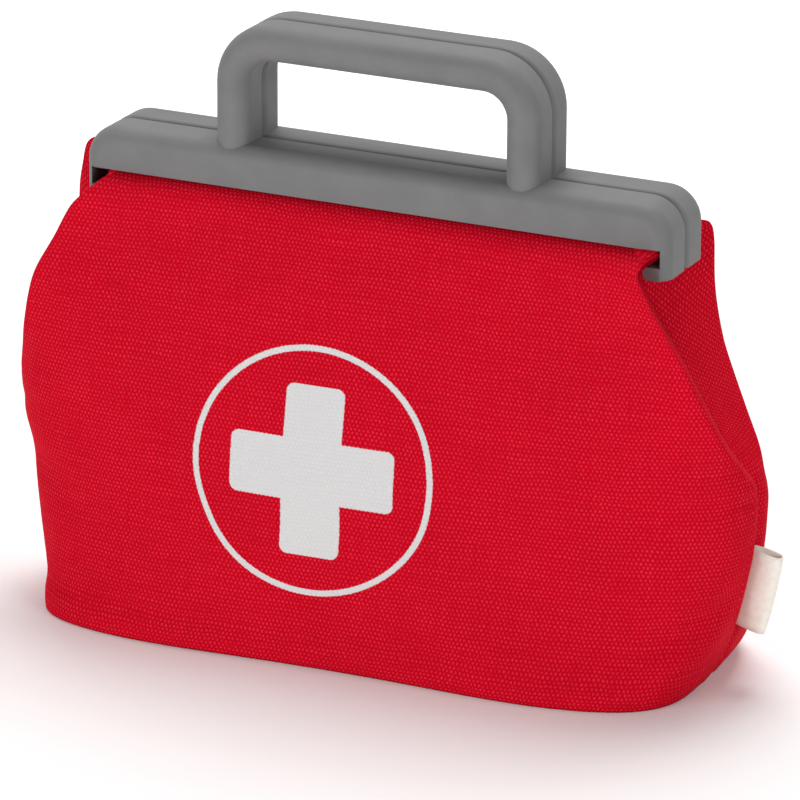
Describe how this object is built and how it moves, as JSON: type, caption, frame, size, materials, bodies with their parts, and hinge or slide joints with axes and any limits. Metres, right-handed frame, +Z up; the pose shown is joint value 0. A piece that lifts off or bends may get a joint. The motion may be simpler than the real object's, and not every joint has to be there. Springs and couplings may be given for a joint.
{
  "type": "toy doctor case",
  "caption": "Soft canvas toy doctor case with a hinged two-part plastic frame, a split carrying handle that parts as it opens, and a plain cross and ring print.",
  "frame": {"origin": "on the floor under the middle of the bag's base", "axes": "+X along the bag to its labelled end, -Y to the front with the print, +Z up"},
  "size_m": [0.2899, 0.1068, 0.2207],
  "materials": {
    "frame_plastic": "fine satin",
    "steel": "zinc plated",
    "canvas": "plain weave",
    "board": "sheet",
    "tape": "ribbed tape",
    "label_tape": "satin tape"
  },
  "bodies": {
    "bag": {"base_panel": "canvas", "base_board": "board", "front_panel": "canvas", "rear_panel": "canvas", "left_seam_binding": "tape", "right_seam_binding": "tape", "side_label": "label_tape", "left_hinge_pin": "steel", "right_hinge_pin": "steel"},
    "front_half": {"front_frame": "frame_plastic", "front_clamp_strip": "frame_plastic", "front_clamp_screws": "steel"},
    "rear_half": {"rear_frame": "frame_plastic", "rear_clamp_strip": "frame_plastic", "rear_clamp_screws": "steel"}
  },
  "joints": [
    {"name": "front_half_opens", "type": "hinge", "parent": "bag", "child": "front_half", "pos_m": [0, 0, 0.1516], "axis": [1, 0, 0], "range_deg": [0, 45], "deforming": ["front_panel"]},
    {"name": "rear_half_opens", "type": "hinge", "parent": "bag", "child": "rear_half", "pos_m": [0, 0, 0.1516], "axis": [-1, 0, 0], "range_deg": [0, 45], "deforming": ["rear_panel"]}
  ]
}
